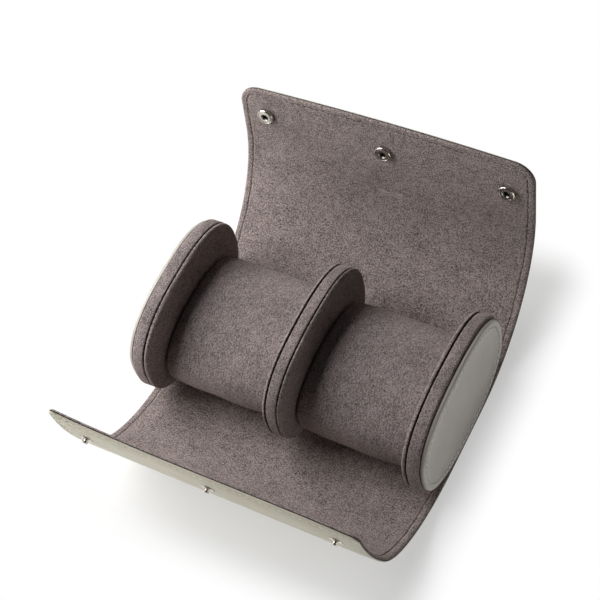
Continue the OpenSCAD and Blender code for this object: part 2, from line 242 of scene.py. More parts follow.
# %% Trees of nodes
class Graph:
    """A tree of shader nodes, of a material or of the world."""

    def __init__(self, tree):
        self.tree = tree

    def link(self, value, socket):
        if isinstance(value, Wire):
            self.tree.links.new(value.socket, socket)
        else:
            socket.default_value = value

    def add(self, kind, settings, values, output=0):
        """Adds a node: its settings first, then the values or wires of its sockets."""
        node = self.tree.nodes.new(kind)
        for key, value in settings.items():
            setattr(node, key, value)
        for key, value in values.items():
            self.link(value, socket_named(node.inputs, key))
        outputs = [s for s in node.outputs if s.enabled]
        return Wire(self, outputs[output])

    def noise(self, place, size, detail=2.0, roughness=0.5, distortion=0.0):
        """A noise whose blotches are about size metres across."""
        values = {"Vector": place, "Scale": 1 / size, "Detail": detail, "Roughness": roughness}
        values["Distortion"] = distortion
        return self.add("ShaderNodeTexNoise", {"noise_dimensions": "3D"}, values)

    def range(self, value, low, high, out_low=0.0, out_high=1.0):
        """The value's place between low and high, eased at both ends."""
        values = {"Value": value, "From Min": low, "From Max": high}
        values.update({"To Min": out_low, "To Max": out_high})
        return self.add("ShaderNodeMapRange", {"interpolation_type": "SMOOTHSTEP"}, values)

    def blend(self, factor, first, second):
        """A colour between two colours."""
        values = {"Factor": factor, "A": first, "B": second}
        return self.add("ShaderNodeMix", {"data_type": "RGBA"}, values)

    def vector(self, operation, *values):
        return self.add("ShaderNodeVectorMath", {"operation": operation}, dict(enumerate(values)))


class Finish(Graph):
    """A material with one Principled shader. look holds what is the same all over it."""

    def __init__(self, name, look):
        self.material = bpy.data.materials.new(name)
        self.material.use_nodes = True
        super().__init__(self.material.node_tree)
        self.shader = self.tree.nodes["Principled BSDF"]
        for key, value in look.items():
            socket_named(self.shader.inputs, key).default_value = value

    def sheet(self):
        """The flat coordinate, in metres, that the sewing helper gave each corner."""
        return self.add("ShaderNodeUVMap", {"uv_map": SHEET}, {})

    def surface(self, **wires):
        for key, value in wires.items():
            self.link(value, socket_named(self.shader.inputs, key.replace("_", " ")))

    def bump(self, height, depth, strength=1.0):
        values = {"Height": height, "Distance": depth, "Strength": strength}
        self.surface(Normal=self.add("ShaderNodeBump", {}, values))


def colour(red, green, blue):
    """A screen colour, 0 to 255, as the linear values that shaders use."""
    shares = [c / 255 for c in (red, green, blue)]
    linear = [((c + 0.055) / 1.055) ** 2.4 if c > 10 / 255 else c / 12.92 for c in shares]
    return (*linear, 1.0)


print("screen grey 128 reflects", round(colour(128, 128, 128)[0], 3), "of the light")

# %% [markdown]
# Suede. The lining, the dividers and the cushions are a microfibre suede: a very matt
# cloth whose short nap lies this way and that, so it shows fine light and dark specks and
# softer cloudy patches, and a faint halo of light fibres at grazing angles. Real hairs would
# be far too many for a case this size, so four noises of rising size stand for the nap,
# the tufts, the way they lie and the brushed clouds, and a sheen makes the halo.

# %% Suede
nap_size, tuft_size, lay_size, cloud_size = 0.5 * MM, 1.0 * MM, 3.2 * MM, 13 * MM


def suede(name, mean, contrast, sheen=0.2):
    """mean is the suede's screen colour; contrast is how far its specks depart from it."""
    look = {"Roughness": 0.95, "Specular IOR Level": 0.12, "Sheen Weight": sheen}
    look.update({"Sheen Roughness": 0.5, "Sheen Tint": colour(205, 192, 188)})
    finish = Finish(name, look)
    sheet = finish.sheet()
    nap = finish.noise(sheet, nap_size, 1.5, 0.6)
    tufts = finish.noise(sheet, tuft_size, 2.0, 0.6, 0.4)
    lay = finish.noise(sheet, lay_size, 2.0, 0.6, 0.3)
    clouds = finish.noise(sheet, cloud_size)
    mixed = nap * 0.46 + tufts * 0.32 + lay * 0.14 + clouds * 0.08
    specks = finish.range(mixed, 0.33, 0.67)
    dark, light = (tuple(c * k for c in mean) for k in (1 - contrast, 1 + contrast * 0.8))
    finish.surface(Base_Color=finish.blend(specks, colour(*dark), colour(*light)))
    finish.bump(nap * 0.7 + tufts * 0.7 + lay * 0.3, 0.35 * MM, 1.0)
    return finish.material


lining_suede = suede("lining_suede", (131, 120, 117), 0.62)
divider_suede = suede("divider_suede", (133, 122, 120), 0.5)
cushion_suede = suede("cushion_suede", (134, 123, 122), 0.44)
# A dark suede that paints the shade in the wrap's crevice and in the dividers' seam grooves
painted_shade_suede = suede("painted_shade_suede", (70, 62, 60), 0.3, 0.05)
print("suedes:", lining_suede.name, divider_suede.name, cushion_suede.name)

# %% [markdown]
# Leather. The outside of the wrap and the two end panels are a smooth calf leather in a warm
# stone grey. Its grain is a net of tiny creases between flat pebbles, which a Voronoi pattern
# draws well, and its sheen changes a little from place to place where hands have polished it.
# A photograph of leather would give the grain too, but it would repeat and fix one size.

# %% Leather
pebble_size, polish_size, drift_size = 0.9 * MM, 3 * MM, 22 * MM


def leather(name, dark, light, roughness=0.42):
    """A leather whose screen colour drifts between dark and light."""
    finish = Finish(name, {"Specular IOR Level": 0.55})
    sheet = finish.sheet()
    polish = finish.noise(sheet, polish_size)
    cells = {"Vector": sheet, "Scale": 1 / pebble_size}
    pebbles = finish.add("ShaderNodeTexVoronoi", {"feature": "DISTANCE_TO_EDGE"}, cells)
    creases = finish.range(pebbles, 0.0, 0.16)
    drift = finish.noise(sheet, drift_size, 3.0, 0.55)
    tone = finish.range(drift * 0.8 + creases * 0.12 + polish * 0.2, 0.35, 0.85)
    finish.surface(Base_Color=finish.blend(tone, colour(*dark), colour(*light)))
    finish.surface(Roughness=finish.range(polish, 0.3, 0.7, roughness - 0.05, roughness + 0.08))
    finish.bump(creases * 0.5 + polish * 0.5, 0.05 * MM, 0.5)
    return finish.material


outer_leather = leather("outer_leather", (207, 200, 175), (227, 220, 197))
end_leather = leather("end_leather", (182, 174, 164), (198, 190, 180))
print("leathers:", outer_leather.name, "and", end_leather.name)

# %% [markdown]
# Thread and cut edges. The leather is sewn with a pale thread and the lining with a dark one,
# whose darkness is partly painted shade of the seam's groove, and the cut edge of the leather
# is rubbed smooth. A row of stitches could be a bump, but at a rim it shows against the light,
# so each stitch is a bead, and this finish only adds the twist of the thread.


# %% Thread and edges
def thread(name, dark, light):
    finish = Finish(name, {"Roughness": 0.7, "Specular IOR Level": 0.3, "Sheen Weight": 0.1})
    twist = finish.noise(finish.sheet(), 0.3 * MM)
    finish.surface(Base_Color=finish.blend(twist, colour(*dark), colour(*light)))
    finish.bump(twist, 0.05 * MM)
    return finish.material


pale_thread = thread("pale_thread", (236, 233, 226), (250, 248, 244))
# The lining's thread is far darker than its suede: partly thread, partly painted groove shade
dark_thread_and_seam_shade = thread("dark_thread_and_seam_shade", (46, 40, 40), (76, 68, 67))
leather_edge = leather("leather_edge", (168, 160, 150), (196, 190, 180), 0.6)
panel_edge = leather("panel_edge", (66, 64, 60), (92, 90, 85), 0.6)
print("threads:", pale_thread.name, "and", dark_thread_and_seam_shade.name)

# %% [markdown]
# Nickel. The snaps are plated: a bright warm grey metal that is polished on its rims and a
# little duller where it has been handled. One even roughness would look like plastic film,
# so a noise varies it.


# %% Nickel and steel
def metal(name, tint, roughness, metallic=1.0):
    finish = Finish(name, {"Metallic": metallic, "Base Color": colour(*tint)})
    place = finish.add("ShaderNodeTexCoord", {}, {}, 3)
    rubbed = finish.noise(place, 0.8 * MM, 3.0)
    finish.surface(Roughness=finish.range(rubbed, 0.3, 0.7, roughness - 0.06, roughness + 0.1))
    return finish.material


nickel = metal("snap_nickel", (196, 190, 180), 0.22)
spring_steel = metal("spring_steel", (90, 88, 86), 0.35)
# A dark matt disc that paints the shade deep inside each socket's hole
painted_hole_shade = metal("painted_hole_shade", (26, 24, 23), 0.6, 0.0)
print(len(bpy.data.materials), "materials")

# %% [markdown]
# The wrap. On the real case it is one strip, but it bends at each fold, so it is made in
# sections that run from the middle of one panel to the middle of the next. Each section
# spans one hinge and is made in the imported model's pose, where neighbours meet. A section is
# a closed slab: lining inside, leather outside, a rounded edge and a sewn groove a few
# millimetres in from it, and at the tips the groove and the edge follow the round corners.
# First come the depths: how far each face lies below the flat, which is where a rim is
# rounded, a seam pulls the cloth in and the lining has a crease from being folded.


# %% The wrap's edge and groove
seam_inset = 3.2 * MM
stitch_pitch = 3.2 * MM
border = 10 * MM
border_insets = MM * np.array(
    [0, 0.12, 0.35, 0.7, 0.95, 1.1, 1.25, 1.4, 1.7, 2.3, 2.7, 2.9, 3.05, 3.2, 3.35, 3.5, 3.75]
    + [4.4, 5.1, 5.6, 6.0, 6.4, 7.0, 7.8, 8.8]
)
seam_pull = 0.5 * MM
leather_pull = 0.24 * MM
suede_rim = MM * np.array([(0, 0.12, 0.35, 0.7, 1.25), (0.7, 0.42, 0.2, 0.06, 0)])
leather_rim = MM * np.array([(0, 0.12, 0.35, 0.7), (0.34, 0.14, 0.04, 0)])
board_inset = 6.2 * MM
board_step = 0.22 * MM
lid_crease = 102.5 * MM
lid_dent = (-68 * MM, 98.5 * MM)


def bell(value, middle, width):
    return np.exp(-(((value - middle) / width) ** 2))


def wander(along):
    """How far a hand-guided seam strays from its line."""
    return 0.12 * MM * (np.sin(along / (5.3 * MM)) + 0.6 * np.sin(along / (2.1 * MM) + 1))


def stitch_wave(along):
    """A seam is pulled down hardest at each stitch hole."""
    return 0.7 + 0.3 * np.cos(2 * np.pi * along / stitch_pitch)


def lining_depth_at(flap, x, s, inset, along):
    """How far the suede's face lies below the flat: rounded rim, sewn seam, faint creases."""
    rim = np.interp(inset, *suede_rim)
    line = bell(inset, seam_inset + wander(along), 0.28 * MM)
    seam = seam_pull * stitch_wave(along) * line
    swell = -0.08 * MM * np.sin(s / (7.3 * MM) + x / (19 * MM)) * np.sin(x / (11 * MM) + 1)
    swell = np.where(inset > border, swell, 0)
    crease = 0
    if flap is lid:
        run = lid_crease + 0.7 * MM * np.sin(x / (9 * MM))
        crease = 0.3 * MM * bell(s, run, 0.9 * MM) * bell(x, 2 * MM, 24 * MM)
        dent = bell(s, lid_dent[1], 3 * MM) * bell(x, lid_dent[0], 2.5 * MM)
        crease = crease + 0.5 * MM * dent
    return rim + seam + swell + crease


def leather_drop_at(inset, along):
    """How far the leather's face lies below the flat: rim, bead, seam and the board's edge."""
    rim = np.interp(inset, *leather_rim)
    bead = 0.22 * MM * bell(inset, 1.25 * MM, 0.2 * MM)
    seam = leather_pull * stitch_wave(along) * bell(inset, seam_inset, 0.4 * MM)
    board_edge = board_step * np.clip((board_inset - inset) / (0.8 * MM), 0, 1)
    return rim + bead + seam + board_edge


deepest = lining_depth_at(front, 0.0, 0.0, seam_inset, 0.0) / MM
print(f"the lining's seam lies up to {deepest:.2f} mm deep, {seam_inset / MM} mm from the edge")

# %% [markdown]
# The wrap's places. A distance along the flap, one across it and a depth give a point. A
# worn case's edges are never straight: near the tips the edge follows a low polynomial across
# the width, which is easier to steer than points moved by hand. The square grid has to follow
# the round corners too, so rings of points are moved onto arcs there.

# %% From the flat sheet to the bent wrap
tip_zone = 30 * MM
lid_edge_shape = (0.7 * MM, 2.5 * MM, -2.1 * MM, 0)
front_edge_shape = (-1.5 * MM, 0.5 * MM, 2.0 * MM, -3.8 * MM)


def wrap_point(flap, x, s, depth):
    """A point of the wrap, depth below its inner surface; the two tips are a little uneven."""
    x, s, depth = np.broadcast_arrays(np.asarray(x, float), s, depth)
    start = flap.length - tip_zone
    share = np.clip((s - start) / (tip_zone - border), 0, 1)
    shape = lid_edge_shape if flap is lid else front_edge_shape
    s = s + share * np.polynomial.polynomial.polyval(2 * x / wrap_w, shape)
    point, outward = flap.at(s)
    place = point + outward * depth[..., None]
    return np.concatenate([x[..., None], place], -1)


def rounded(a, b, reach, radius):
    """Moves grid points near a corner, at insets a and b, onto rings that round the corner."""
    ring = np.minimum(a, b)
    room = np.maximum(reach - ring, 1e-9)
    t = np.where(a <= b, 0.5 * (reach - b) / room, 1 - 0.5 * (reach - a) / room)
    r = np.maximum(radius - ring, 0)
    c = ring + r
    straight = reach - c
    along = t * (2 * straight + math.pi / 2 * r)
    turn = np.clip((along - straight) / np.maximum(r, 1e-9), 0, math.pi / 2)
    second = np.maximum(along - straight - math.pi / 2 * r, 0)
    first = np.minimum(along, straight)
    new_a = c - r * np.cos(turn) + second
    new_b = np.where(turn > 0, c - r * np.sin(turn), reach - first)
    inside = (a < reach) & (b < reach)
    return np.where(inside, new_a, a), np.where(inside, new_b, b)


corner = rounded(np.zeros(1), np.zeros(1), border, lid_corner_r)[0][0]
print(f"the lid's corner moves in by {corner / MM:.2f} mm each way")

# %% [markdown]
# The wrap's sections. Each has an inner grid of suede, an outer grid of leather and thin
# strips round its rim. A Solidify modifier would close the rim with one flat strip, but the
# real one is a sandwich: suede, a crevice at the board, and the cut edge of the leather. The
# crevice is sunk a little, and its dark is painted shade.

# %% The wrap's sections
LINING, LEATHER, EDGE, PALE, THREAD_AND_SEAM_SHADE, SHADE = range(6)
wrap_finishes = [lining_suede, outer_leather, leather_edge, pale_thread, dark_thread_and_seam_shade, painted_shade_suede]
# Across the rim, from the suede to the leather: each line's depth, and whether it is sunk
# into the crevice that runs between them at the board
rim_lines = [(1.0 * MM, False), (1.12 * MM, True), (1.3 * MM, True), (1.42 * MM, False)]
# The three middle strips lie in the crevice and carry painted shade
rim_strips = [LINING, SHADE, SHADE, SHADE, EDGE]
rim_strip_w = 0.5 * MM
crevice_column = 3
leather_offset = 0.5
row_step = 0.7 * MM
column_step = 3 * MM


def steps(first, last, step):
    return np.linspace(first, last, max(2, round((last - first) / step) + 1))


def distances(line):
    """How far along a line of points each point lies."""
    gaps = np.linalg.norm(np.diff(line, axis=0), axis=1)
    return np.concatenate([[0], np.cumsum(gaps)])


def wrap_columns():
    inner = steps(-(wrap_w / 2 - border), wrap_w / 2 - border, column_step)
    side = wrap_w / 2 - border_insets
    return np.concatenate([-side, inner, side[::-1]])


def slab_rims(rows, columns, tip):
    """For each side of a slab: its own rows and columns, and those of the crevice's floor."""
    i, k = np.arange(rows), np.arange(columns)
    deep = np.full(rows, crevice_column)
    if tip:
        deep = np.minimum(crevice_column, rows - 1 - i)
    last = columns - 1
    yield (i, 0 * i), (i, deep), True
    yield (i, 0 * i + last), (i, last - deep), True
    sunk = np.clip(k, crevice_column, last - crevice_column)
    yield (0 * k, k), (0 * k, sunk), False
    if tip:
        deep = np.minimum(crevice_column, np.minimum(k, last - k))
        yield (0 * k + rows - 1, k), (rows - 1 - deep, k), True
    else:
        yield (0 * k + rows - 1, k), (0 * k + rows - 1, sunk), False


print(len(wrap_columns()), "columns of points across the wrap")

# %% [markdown]
# A slab is one section: its points are laid out flat, moved onto the round corners at a tip,
# sunk by the depths above, and only then bent. The strips of the rim follow the same points.


# %% A slab of the wrap
def wrap_slab(sewing, flap, first, last, radius, tip):
    """Adds the slab between two places on a flap; at a tip it ends in rounded corners."""
    x = wrap_columns()
    s = steps(first, last - border if tip else last, row_step)
    if tip:
        s = np.concatenate([s, (last - border_insets)[::-1]])
    x, s = np.meshgrid(x, s)
    a = wrap_w / 2 - np.abs(x)
    b = flap.length - s
    ring = np.minimum(a, b)
    if tip:
        new_a, new_b = rounded(a, b, border, radius)
        x, s = np.sign(x) * (wrap_w / 2 - new_a), flap.length - new_b
    along = np.where(a < b, s, x)
    inner = lining_depth_at(flap, x, s, ring, along)
    outer = wall - leather_drop_at(ring, along)
    sheet = np.stack([x, flap.side * s], -1)
    sewing.grid(wrap_point(flap, x, s, inner), sheet, LINING)
    sewing.grid(wrap_point(flap, x, s, outer), sheet + leather_offset, LEATHER)
    for edge, sunk, seen in slab_rims(*x.shape, tip):
        lines = [wrap_point(flap, x[edge], s[edge], inner[edge])]
        for depth, is_sunk in rim_lines:
            place = sunk if is_sunk else edge
            lines.append(wrap_point(flap, x[place], s[place], depth))
        lines.append(wrap_point(flap, x[edge], s[edge], outer[edge]))
        lines = np.stack(lines)
        run = distances(lines[0])
        coords = [np.stack([run, 0 * run + k * rim_strip_w], -1) for k in range(len(lines))]
        coords = np.stack(coords)
        for k, finish in enumerate(rim_strips):
            sewing.grid(lines[k : k + 2], coords[k : k + 2], finish if seen else SHADE)


print("a slab's rim has", len(rim_strips), "strips")

# %% [markdown]
# Stitches. A stitch is a short bead of thread whose two ends dip into the leather. A curve
# with a round bevel could make one, but a ring of six points at seven places is lighter, and
# it can be made broad and flat, as thread is where it is pulled tight.

# %% A stitch
stitch_half = [(0, 1), (0.4, 1), (0.8, 0.75), (1, 0.25)]
stitch_shape = [(-t, share) for t, share in stitch_half[:0:-1]] + stitch_half
stitch_sides = 6


def stitch(sewing, centre, along, up, finish, length=2.3 * MM, thickness=0.55 * MM, width=1.0):
    """A bead centred there, that runs along one direction and stands up in another."""
    across = np.cross(along, up)
    around = np.arange(stitch_sides) * math.pi / (stitch_sides / 2)
    ring_x, ring_y = width * np.cos(around)[:, None] * across, np.sin(around)[:, None] * up
    rings = []
    for t, share in stitch_shape:
        middle = centre + along * (t * length / 2) - up * (thickness * 0.9 * t**4)
        r = thickness / 2 * share
        rings.append(middle + r * (ring_x + ring_y))
    t = np.arange(stitch_sides + 1)[None] * thickness / 2
    rows = np.linspace(0, length, len(rings))[:, None]
    coords = np.stack([rows + 0 * t, 0 * rows + t], -1) + centre[0]
    sewing.grid(np.array(rings), coords, finish, closed=True)


print("a stitch has", len(stitch_shape), "rings of", stitch_sides, "points")

# %% [markdown]
# The seam. It runs up one side of a flap, round the corners and down the other side, with a
# whole number of stitches. The leather shows it in pale thread, the lining in a dark thread
# that also paints the shade of the seam's groove.


# %% The wrap's seam
def seam_path(flap, radius):
    """Evenly spread stitches along a flap's seam: x, s and direction of each."""
    r = max(radius - seam_inset, 1e-6)
    side = flap.length - max(radius, seam_inset)
    arc = math.pi / 2 * r
    across = wrap_w - 2 * max(radius, seam_inset)
    total = 2 * side + 2 * arc + across
    count = round(total / stitch_pitch)
    for k in range(count):
        t = (k + 0.5) * total / count
        mirrored = -1 if t > total / 2 else 1
        t = min(t, total - t)
        if t < side:
            x, s, heading = -(wrap_w / 2 - seam_inset), t, (0, 1)
        elif t < side + arc:
            turn = (t - side) / r
            x = -(across / 2 + r * math.cos(turn))
            s = side + r * math.sin(turn)
            heading = (math.sin(turn), math.cos(turn))
        else:
            x, s, heading = -(across / 2) + (t - side - arc), side + r, (1, 0)
        yield mirrored * x, s, (mirrored * heading[0], heading[1])


thread_depths = ((0.36 * MM, -1, THREAD_AND_SEAM_SHADE), (wall - 0.3 * MM, 1, PALE))


def unit(direction):
    return direction / np.linalg.norm(direction)


def wrap_stitches(sewing, flap, first, last, radius):
    """Sews both faces of the wrap between two places on a flap."""
    step = 0.3 * MM
    for x, s, (dx, ds) in seam_path(flap, radius):
        if not first <= s < last:
            continue
        for depth, face, finish in thread_depths:
            here = wrap_point(flap, x, s, depth)
            ahead = wrap_point(flap, x + dx * step, s + ds * step, depth)
            outward = np.concatenate([[0], flap.at(s)[1]]) * face
            stitch(sewing, here, unit(ahead - here), outward, finish)


print(sum(1 for _ in seam_path(lid, lid_corner_r)), "stitches along the lid's seam")

# %% [markdown]
# Cutting and sewing. A real flap bends over its whole length. Here each flap is cut into
# sections, one across each hinge, made in the imported model's pose in place of the CAD
# panels they hide. The ends of a blend across each hinge are worked out, but nothing uses them.

# %% Cut the wrap into sections and sew them
blend_margin = 1.5 * MM
tip_blend = 11 * MM


def replace_panel(flap_name, i):
    for layer in ("leather", "board", "lining"):
        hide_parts(f"{flap_name}_{layer}_{i}")


def sew_flap(flap, flap_name, radius):
    """Makes a section for each hinge of a flap, from mid-panel to mid-panel."""
    ends = [*flap.hinges[1:], flap.length]
    cuts = [sole_half] + [(a + b) / 2 for a, b in zip(flap.hinges, ends)]
    for i, hinge in enumerate(flap.hinges):
        tip = i == len(flap.hinges) - 1
        first, last = cuts[i], flap.length if tip else cuts[i + 1]
        sewing = Sewing()
        wrap_slab(sewing, flap, first, last, radius, tip)
        wrap_stitches(sewing, flap, first, last, radius)
        made = sewing.piece(f"{flap_name}_wrap_{i + 1}", wrap_finishes)
        room = tip_blend if tip else cuts[i + 1] - hinge
        half = min(hinge - first, room) - blend_margin
        start = wrap_point(flap, 0, hinge - half, 0)
        end = wrap_point(flap, 0, hinge + half, 0)
        f"{flap_name}_panel_{i + 1}"
        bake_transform(made)
        replace_panel(flap_name, i + 1)
    print(flap_name, "flap sewn from", len(flap.hinges), "sections")


sew_flap(front, "front", front_corner_r)
sew_flap(lid, "lid", lid_corner_r)

sole = Sewing()
for half, corner_r in ((front, front_corner_r), (lid, lid_corner_r)):
    wrap_slab(sole, half, 0.0, sole_half, 0, False)
    wrap_stitches(sole, half, 0.0, sole_half, corner_r)
sole = sole.piece("base_wrap", wrap_finishes)
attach(sole, "base")
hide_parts("base_leather", "base_board", "base_lining")

# %% [markdown]
# The dividers. Each is a suede-covered band between two thin padded faces, with a tight seam
# where they meet. The two outer dividers end in a panel of leather, sewn round its rim. All
# of them are lofts: one profile, carried round the oval. A bevelled prism would do for a
# board, but a loft lets each ring be drawn in by the seam's gathers.


# %% The dividers' oval
def x_ends(node):
    """A CAD node's two ends along X."""
    low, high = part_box(node)
    return low.x, high.x


divider_low, divider_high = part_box("middle_divider_left_face")
divider_l = divider_high.y - divider_low.y
foot_sink = 0.3 * MM
divider_h = divider_high.z - wall + foot_sink
divider_z = wall - foot_sink + divider_h / 2
divider_squareness = 2.5
divider_pitch = sum(x_ends("right_divider_band")) / 2
gather_pitch = 3.1 * MM
unevenness = 0.1 * MM
rim_reach = 5 * MM


def oval(length, height, squareness, middle, oval_points=360):
    """Points spread evenly round an oval between an ellipse and a rectangle, in Y and Z."""
    a = np.linspace(0, 2 * np.pi, 1441)
    c, s, e = np.cos(a), np.sin(a), 2 / squareness
    y = length / 2 * np.sign(c) * np.abs(c) ** e
    z = middle + height / 2 * np.sign(s) * np.abs(s) ** e
    run = np.concatenate([[0], np.cumsum(np.hypot(np.diff(y), np.diff(z)))])
    even = np.linspace(0, run[-1], oval_points, endpoint=False)
    return np.interp(even, run, y), np.interp(even, run, z)


def divider_ring(x, inset, gather=0.0):
    """A ring of a divider's outline, drawn in by inset and by small gathers along a seam."""
    y, z = oval(divider_l - 2 * inset, divider_h - 2 * inset, divider_squareness, divider_z)
    turn = np.arctan2(z - divider_z, y)
    run = np.arange(len(y)) * np.hypot(y[1] - y[0], z[1] - z[0])
    count = round(run[-1] / gather_pitch)
    phase = 2 * np.pi * count * run / (run[-1] + run[1])
    sag = gather * (0.5 + 0.5 * np.cos(phase + 20 * x / MM))
    sag = sag + unevenness * np.sin(5 * turn + 3 * x / MM) * np.sin(2 * turn + x / MM)
    sag = np.where(inset > rim_reach, 0, sag)
    y, z = y - sag * np.cos(turn), z - sag * np.sin(turn)
    return np.stack([np.full_like(y, x), y, np.maximum(z, wall)], -1)


print(f"dividers {divider_l / MM:.1f} by {divider_h / MM:.1f} mm")

# %% [markdown]
# Lofts. The rings of a profile are joined into one skin, each end is closed by rings that
# shrink to its middle, and the rings next to a seam get a darker suede that paints the
# shade in the seam's groove.


# %% Lofts
seam_rings = 4
seam_gather = 0.4 * MM


def cap_rings(ring, count=8):
    """Rings that shrink from a ring to its middle, to close an end."""
    middle = ring.mean(0)
    shares = [1 - k / count for k in range(1, count)] + [1e-4]
    return [middle + (ring - middle) * share for share in shares]


def loft(sewing, rings, finish, flat=False):
    """A grid through rings. A flat one has its coordinates from Y and Z, others from the run."""
    rings = np.array(rings)
    round_again = np.concatenate([rings, rings[:, :1]], 1)
    if flat:
        coords = round_again[..., 1:]
    else:
        u, v = np.meshgrid(distances(round_again[0]), distances(rings[:, 0]))
        coords = np.stack([u, v], -1)
    sewing.grid(rings, coords, finish, closed=True)


def close_ends(sewing, rings):
    for ring in (rings[0], rings[-1]):
        loft(sewing, [ring, *cap_rings(ring)], 0, flat=True)


def lofted(name, profile, nodes, seams):
    """A closed solid from a profile of (x, inset); seams tells which ends have painted seam shade.
    """
    sewing = Sewing()
    first = seam_rings if seams[0] else 0
    last = len(profile) - (seam_rings if seams[1] else 0)
    rings = []
    for k, (x, inset) in enumerate(profile):
        sewn = seam_gather if k < first + 1 or k >= last - 1 else 0
        rings.append(divider_ring(x, inset, sewn))
    # Finish 1 is the dark suede: painted shade in the grooves at the seams
    for low, high, finish in ((0, first + 1, 1), (first, last, 0), (last - 1, len(rings), 1)):
        if high - low > 1:
            loft(sewing, rings[low:high], finish)
    close_ends(sewing, rings)
    made = sewing.piece(name, [divider_suede, painted_shade_suede])
    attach(made, "base")
    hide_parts(*nodes)


print(seam_rings, "rings at each seam get the darker suede")

# %% [markdown]
# Bands and faces. A sewn seam turns both covers in sharply, so each profile is a list of how
# far in from the outline it lies at each step along X, with the points crowded at the seam.

# %% Bands and faces
seam_shift = 0.5
band_t = np.ptp(x_ends("middle_divider_band"))
face_t = np.ptp(x_ends("middle_divider_right_face"))
outer_face_t = np.ptp(x_ends("right_divider_outer_face"))
half_band = band_t / 2
band_edge = [(0, 2.6), (0, 1.5), (0.1, 0.85), (0.22, 0.48), (0.38, 0.24), (0.6, 0.1), (0.95, 0.03)]
face_edge = [(0, 2.6), (0, 1.3), (0.08, 0.65), (0.2, 0.32), (0.38, 0.1), (0.55, 0.02), (0.85, 0)]
face_rim = [(1.3, 6.5), (1.3, 4), (1.28, 1.7), (1.18, 1.05), (1.0, 0.62), (0.75, 0.3)]
face_rim += [(0.4, 0.08), (0.1, 0)]
outer_corner = [(0, 2.4), (0, 0.8), (0.2, 0.35), (0.5, 0.1), (0.9, 0)]


def band(title, x, side, nodes):
    """A band of suede, from one seam to the other, or round to an end divider's outer side."""
    direction = side if side else 1
    start = x - direction * (half_band + (0 if side else seam_shift * MM))
    width = band_t + (outer_face_t if side else 2 * seam_shift * MM)
    far_edge = outer_corner if side else band_edge
    near = [(t * MM, inset * MM) for t, inset in band_edge]
    far = [(width - t * MM, inset * MM) for t, inset in far_edge[::-1]]
    profile = [(start + direction * t, inset) for t, inset in near + far]
    lofted(f"{title}_divider_band_cover", profile, nodes, (True, not side))


def face(name, x, side, shift, node):
    """A thin padded face, sewn to the band near x, that looks towards one side."""
    width = face_t / MM - shift
    rim = [(t + width - face_rim[0][0], inset) for t, inset in face_rim[::-1]]
    edge = [(t, inset) for t, inset in face_edge if t < rim[0][0]]
    profile = [(x + side * (shift + t) * MM, inset * MM) for t, inset in edge + rim]
    lofted(name, profile, [node], (True, False))


band("middle", 0, 0, ["middle_divider_band"])
face("middle_divider_left_cover", -half_band, -1, seam_shift, "middle_divider_left_face")
face("middle_divider_right_cover", half_band, 1, seam_shift, "middle_divider_right_face")
for side, title in ((-1, "left"), (1, "right")):
    centre = side * divider_pitch
    band(title, centre, side, [f"{title}_divider_band", f"{title}_divider_outer_face"])
    node = f"{title}_divider_inner_face"
    face(f"{title}_divider_inner_cover", centre - side * half_band, -side, 0, node)
print(f"bands {band_t / MM:.1f} mm wide, faces {face_t / MM:.1f} mm thick")

# %% [markdown]
# End panels. Each is a disc of leather over thin padding, sewn down just inside its rim, so
# it swells at the rim, dips at the seam and lies flat in the middle. Its stitches lean a
# little, as hand stitches do.

# %% End panels
panel_low, panel_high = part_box("right_end_panel")
panel_inset = (divider_l - (panel_high.y - panel_low.y)) / 2
panel_pitch = 3.0 * MM
panel_seam = 3.1
seam_height = 2.22
stitch_lean = 0.22
panel_profile = [(0, 3), (0, 0.15), (0.7, 0), (1.15, 0.03), (1.6, 0.1), (1.95, 0.26), (2.2, 0.52)]
panel_profile += [(2.34, 0.9), (2.4, 1.4), (2.37, 2.0), (2.26, 2.5), (2.02, 2.8)]
panel_profile += [(1.84, panel_seam), (2.0, 3.4), (2.1, 3.8), (2.04, 4.4), (1.88, 5.3)]
panel_profile += [(1.68, 6.4), (1.5, 7.8), (1.38, 9.6), (1.32, 11.8), (1.3, 15)]


def end_panel(title, side):
    """A leather panel on the outside of one of the two outer dividers."""
    inside = side * (divider_pitch + half_band + outer_face_t)
    profile = [(inside + side * t * MM, inset * MM + panel_inset) for t, inset in panel_profile]
    sewing = Sewing()
    rings = [divider_ring(x, inset) for x, inset in profile]
    loft(sewing, rings[:3], 1)
    loft(sewing, rings[2:], 0, flat=True)
    close_ends(sewing, rings)
    seam = divider_ring(inside + side * seam_height * MM, panel_seam * MM + panel_inset)
    closed = np.concatenate([seam, seam[:1]])
    run = distances(closed)
    count = round(run[-1] / panel_pitch)
    out = np.array([float(side), 0, 0])
    for k in range(count):
        t = (k + 0.5) * run[-1] / count
        places = [t, t + 0.4 * MM]
        here, ahead = np.stack([np.interp(places, run, closed[:, i]) for i in range(3)], -1)
        along = unit(ahead - here)
        slanted = unit(along + stitch_lean * np.cross(out, along))
        stitch(sewing, here, slanted, out, 2, 2.3 * MM, 0.7 * MM, 1.5)
    made = sewing.piece(f"{title}_end_leather", [end_leather, panel_edge, pale_thread])
    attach(made, "base")
    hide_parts(f"{title}_end_panel")
    print(f"{title} end panel sewn with {count} stitches")


end_panel("left", -1)
end_panel("right", 1)

# %% [markdown]
# The cushions. Each is an oval block of foam in a suede cover: crowned along its length,
# drawn in at the seams of its two flat ends, with soft dimples where the cover has settled.
# A cloth simulation makes folds and puffed corners well. This cover is drawn tight and shows
# neither, so shaped rings are enough.

# %% Cushions
cushion_squareness = 2.15
cushion_crown = 1.2 * MM
end_r = 2.4 * MM
ring_points = 168
dimple = 0.16 * MM
end_steps = (0.0, 0.25, 0.7, 1.3, 2.0, 2.8, 3.8)


